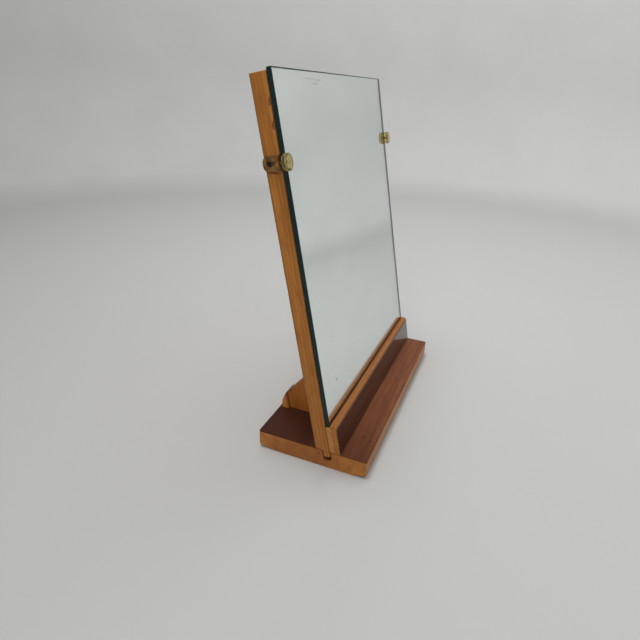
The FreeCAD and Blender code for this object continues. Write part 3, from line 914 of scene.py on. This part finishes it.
def stud():
    """A rod with a thread cut along its whole length: one tooth wound round and up."""
    pitch = 0.8 * mm
    steps = 24
    turns = int((stud_back - stud_front) / pitch)
    root = stud_radius - 0.3 * mm
    tooth = [(root, 0), (stud_radius, pitch / 2), (root, pitch)]
    bm = bmesh.new()
    points = [bm.verts.new((radius, 0, height)) for radius, height in tooth]
    edges = [bm.edges.new(pair) for pair in zip(points, points[1:])]
    bmesh.ops.spin(bm, geom=points + edges, cent=(0, 0, 0), axis=(0, 0, 1), angle=math.tau * (turns - 1),
                   steps=steps * (turns - 1), dvec=(0, 0, pitch / steps))
    bmesh.ops.remove_doubles(bm, verts=bm.verts, dist=0.01 * mm)
    bmesh.ops.holes_fill(bm, edges=[edge for edge in bm.edges if edge.is_boundary])
    bmesh.ops.recalc_face_normals(bm, faces=bm.faces)
    return facing_front(bm, stud_back)


def knob():
    """A moulded cap in millimetres: a boss for the stud in the hollow back, a round rim and a domed face."""
    cap_wide = 7.99
    cap_thick = 5.1
    rim = 0.97
    shoulder = 0.89
    crown = 0.41
    face_wide = cap_wide - shoulder
    boss = [(0, 3.05), (1.55, 3.05), (1.55, 2.6)]
    hollow = arc((2.5, 2.6), 0.6, 0.6, 180, 90, 2) + arc((5.45, 2.65), 0.55, 0.55, 90, 0, 2)
    round_rim = arc((cap_wide - rim, rim), rim, rim, 180, 360, 6)
    front_edge = arc((face_wide, cap_thick - crown - shoulder), shoulder, shoulder, 0, 90, 4)
    dome = [(share * face_wide, cap_thick - crown * share ** 2) for share in (0.75, 0.4, 0)]
    cap = boss + hollow + round_rim + front_edge + dome
    return facing_front(turned([(radius * mm, height * mm) for radius, height in cap], 64), knob_back)


stud_bright = paint(148, 122, 70)
stud_dull = paint(104, 82, 44)
strap_bright = paint(176, 132, 80)
strap_dull = paint(120, 84, 48)
plastic_scuffed = paint(236, 228, 190)
plastic_clear = paint(250, 246, 222)

stud_brass = metal("stud_brass", stud_bright, stud_dull, gloss=0.45, patch=3 * mm)
strap_brass = metal("strap_brass", strap_bright, strap_dull, gloss=0.5, patch=6 * mm)
for tarnished in (stud_brass, strap_brass):
    shader_of(tarnished).inputs["Metallic"].default_value = 0.7

clear_plastic, tree, shader, spot = new_material("clear_plastic")
scuffs = cloud(tree, sized(tree, spot, (2.5 * mm,) * 3), 5, 0.5)
yellowing = ramp(tree, scuffs, (0.3, plastic_scuffed), (0.7, plastic_clear))
tree.links.new(spread(tree, scuffs, 0.4, 0.75, 0.03, 0.14), shader.inputs["Roughness"])
tree.links.new(yellowing, shader.inputs["Base Color"])
shader.inputs["IOR"].default_value = 1.49
shader.inputs["Transmission Weight"].default_value = 0.95
amber = add(tree, "VolumeAbsorption", {"Color": (0.87, 0.76, 0.02, 1), "Density": 340.0})
tree.links.new(amber.outputs[0], tree.nodes["Material Output"].inputs["Volume"])

for side, hand in ((-1, "left"), (1, "right")):
    bm = strap()
    worn(bm, strap_ease, lambda middle, along: middle.x > frame_half + 0.3 * mm, 0.05 * mm)
    bmesh.ops.dissolve_degenerate(bm, dist=0.002 * mm, edges=bm.edges)
    finish_piece(hand + "_strap", on_side(bm, side), "stand", "brass",
                 [hand + "_clip_bracket"], strap_brass)
    finish_piece(hand + "_strap_screw", on_side(clip_screw(), side), "stand", "dark_steel",
                 [hand + "_clip_screw"], dark_steel)
    finish_piece(hand + "_stud", on_side(stud(), side), hand + "_stud", "brass",
                 [hand + "_clip_stud"], stud_brass)
    finish_piece(hand + "_knob", on_side(knob(), side), hand + "_knob", "clear_plastic",
                 [hand + "_clip_knob"], clear_plastic)


# Studio
# A pale table top that sweeps up all round, a large soft light from the right, a weaker one from the left,
# one on the wall that the mirror shows, and the camera where the photograph was taken from.

sheet_grey = paint(199, 199, 198)
sheet_light = paint(203, 203, 202)
table_grey = paint(184, 184, 182)

pale_sheet, tree, shader, spot = new_material("pale_sheet")
mottle = cloud(tree, sized(tree, spot, (200 * mm,) * 3), 4)
tree.links.new(ramp(tree, mottle, (0.3, sheet_grey), (0.7, sheet_light)), shader.inputs["Base Color"])
shader.inputs["Roughness"].default_value = 0.7
height = add(tree, "SeparateXYZ", {0: spot}).outputs["Z"]
stain(pale_sheet, spread(tree, height, 50 * mm, 0, 0, 0.8), table_grey)

floor_radius = 1.5
sweep = 0.5
rim_radius = floor_radius + sweep
rim_height = 2.6
bm = bmesh.new()
points = [bm.verts.new(place) for place in ((0, 0, 0), (rim_radius, 0, 0), (rim_radius, 0, rim_height))]
edges = [bm.edges.new(pair) for pair in zip(points, points[1:])]
bmesh.ops.bevel(bm, geom=[points[1]], offset=sweep, segments=12, profile=0.5, affect="VERTICES",
                material=-1)
bmesh.ops.spin(bm, geom=bm.verts[:] + bm.edges[:], cent=(0, 0, 0), axis=(0, 0, 1), angle=math.tau,
               steps=64, use_merge=True)
bmesh.ops.remove_doubles(bm, verts=bm.verts, dist=0.01 * mm)
bmesh.ops.recalc_face_normals(bm, faces=bm.faces)
bmesh.ops.reverse_faces(bm, faces=bm.faces)
for face in bm.faces:
    face.smooth = True
mesh = bpy.data.meshes.new("table_sheet")
bm.to_mesh(mesh)
bm.free()
mesh.materials.append(pale_sheet)
table_sheet = bpy.data.objects.new("table_sheet", mesh)
bpy.context.scene.collection.objects.link(table_sheet)


def soft_light(name, place, target, size, power):
    """A square soft box that faces a target and isn't seen in the mirror."""
    lamp = bpy.data.lights.new(name, "AREA")
    lamp.size = size
    lamp.energy = power
    holder = bpy.data.objects.new(name, lamp)
    holder.location = place
    holder.visible_glossy = False
    holder.visible_transmission = False
    holder.rotation_euler = (Vector(target) - Vector(place)).to_track_quat("-Z", "Y").to_euler()
    bpy.context.scene.collection.objects.link(holder)


soft_light("key", place=(0.85, 0.05, 1.9), target=(0, 0, 0.1), size=1.4, power=9)
soft_light("fill", place=(-1.5, -0.3, 1.1), target=(-0.1, 0, 0.2), size=1.0, power=6)
soft_light("wall", place=(-0.2, 0.3, 2.2), target=(1.7, -1.6, 0.7), size=1.0, power=38)

world = bpy.data.worlds.new("studio")
world.use_nodes = True
room_light = world.node_tree.nodes["Background"]
room_light.inputs["Color"].default_value = (1.0, 1.0, 1.0, 1)
room_light.inputs["Strength"].default_value = 0.36
bpy.context.scene.world = world
bpy.context.scene.view_settings.view_transform = "Standard"

camera_place = (-0.5718, -0.1697, 0.3956)
camera_yaw = math.radians(68.19)
camera_pitch = math.radians(25.33)
camera_roll = math.radians(2.27)
camera = bpy.data.objects.new("camera", bpy.data.cameras.new("camera"))
camera.data.sensor_width = 36.0
camera.data.lens = 27.29
camera.data.clip_start = 0.01
camera.matrix_world = (Matrix.Translation(camera_place) @ Matrix.Rotation(-camera_yaw, 4, "Z")
                       @ Matrix.Rotation(math.pi / 2 - camera_pitch, 4, "X")
                       @ Matrix.Rotation(camera_roll, 4, "Z"))
bpy.context.scene.collection.objects.link(camera)
bpy.context.scene.camera = camera
